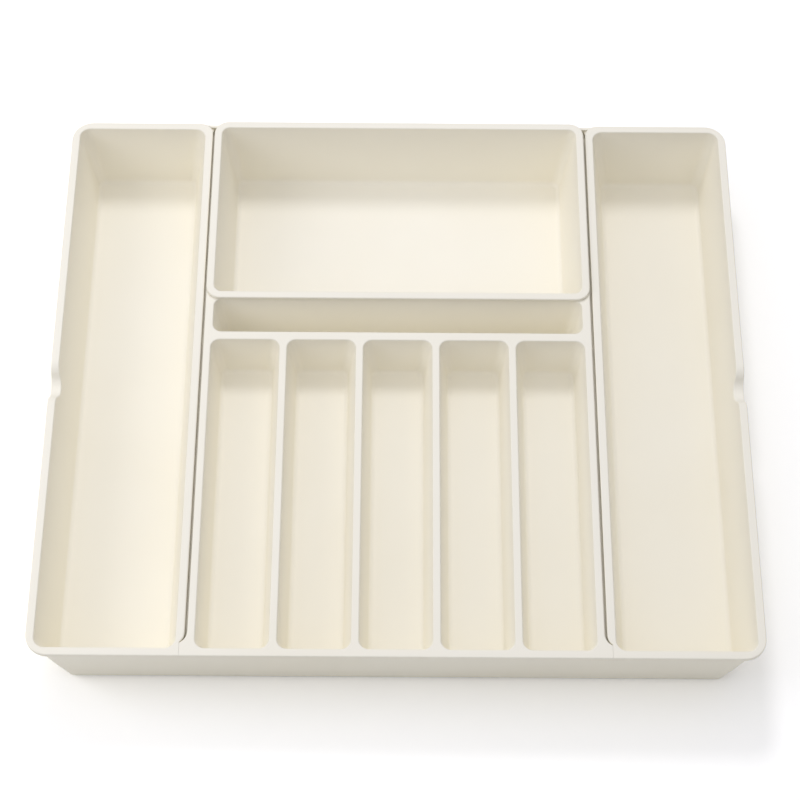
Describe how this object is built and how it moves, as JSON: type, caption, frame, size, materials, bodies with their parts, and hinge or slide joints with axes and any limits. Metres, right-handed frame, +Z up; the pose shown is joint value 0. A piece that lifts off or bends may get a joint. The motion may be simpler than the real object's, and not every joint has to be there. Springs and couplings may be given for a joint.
{
  "type": "cutlery tray",
  "caption": "Expandable drawer tray for cutlery: narrow compartments, a lift-out rear tray and side trays with finger dips that slide outwards.",
  "frame": {"origin": "on the surface the tray stands on, under the middle of its outer rim with the side trays in", "axes": "+X to the right along the width, +Y from the front rim to the back rim, +Z up"},
  "size_m": [0.45, 0.4, 0.0583],
  "materials": {
    "tray_plastic": "moulded cream plastic with a fine matte grain",
    "foot_rubber": "soft pale grey rubber",
    "glide_plastic": "smooth slippery plastic"
  },
  "bodies": {
    "main": {"main_tray": "tray_plastic", "foot_front_left": "foot_rubber", "foot_front_right": "foot_rubber", "foot_back_left": "foot_rubber", "foot_back_right": "foot_rubber"},
    "left_side": {"left_side_tray": "tray_plastic", "left_glide_front": "glide_plastic", "left_glide_back": "glide_plastic"},
    "right_side": {"right_side_tray": "tray_plastic", "right_glide_front": "glide_plastic", "right_glide_back": "glide_plastic"},
    "rear": {"rear_tray": "tray_plastic"}
  },
  "joints": [
    {"name": "left_slide", "type": "slide", "parent": "main", "child": "left_side", "axis": [-1, 0, 0], "range_m": [0, 0.045]},
    {"name": "right_slide", "type": "slide", "parent": "main", "child": "right_side", "axis": [1, 0, 0], "range_m": [0, 0.045]},
    {"name": "rear_lift", "type": "slide", "parent": "main", "child": "rear", "axis": [0, 0, 1], "range_m": [0, 0.07]}
  ]
}
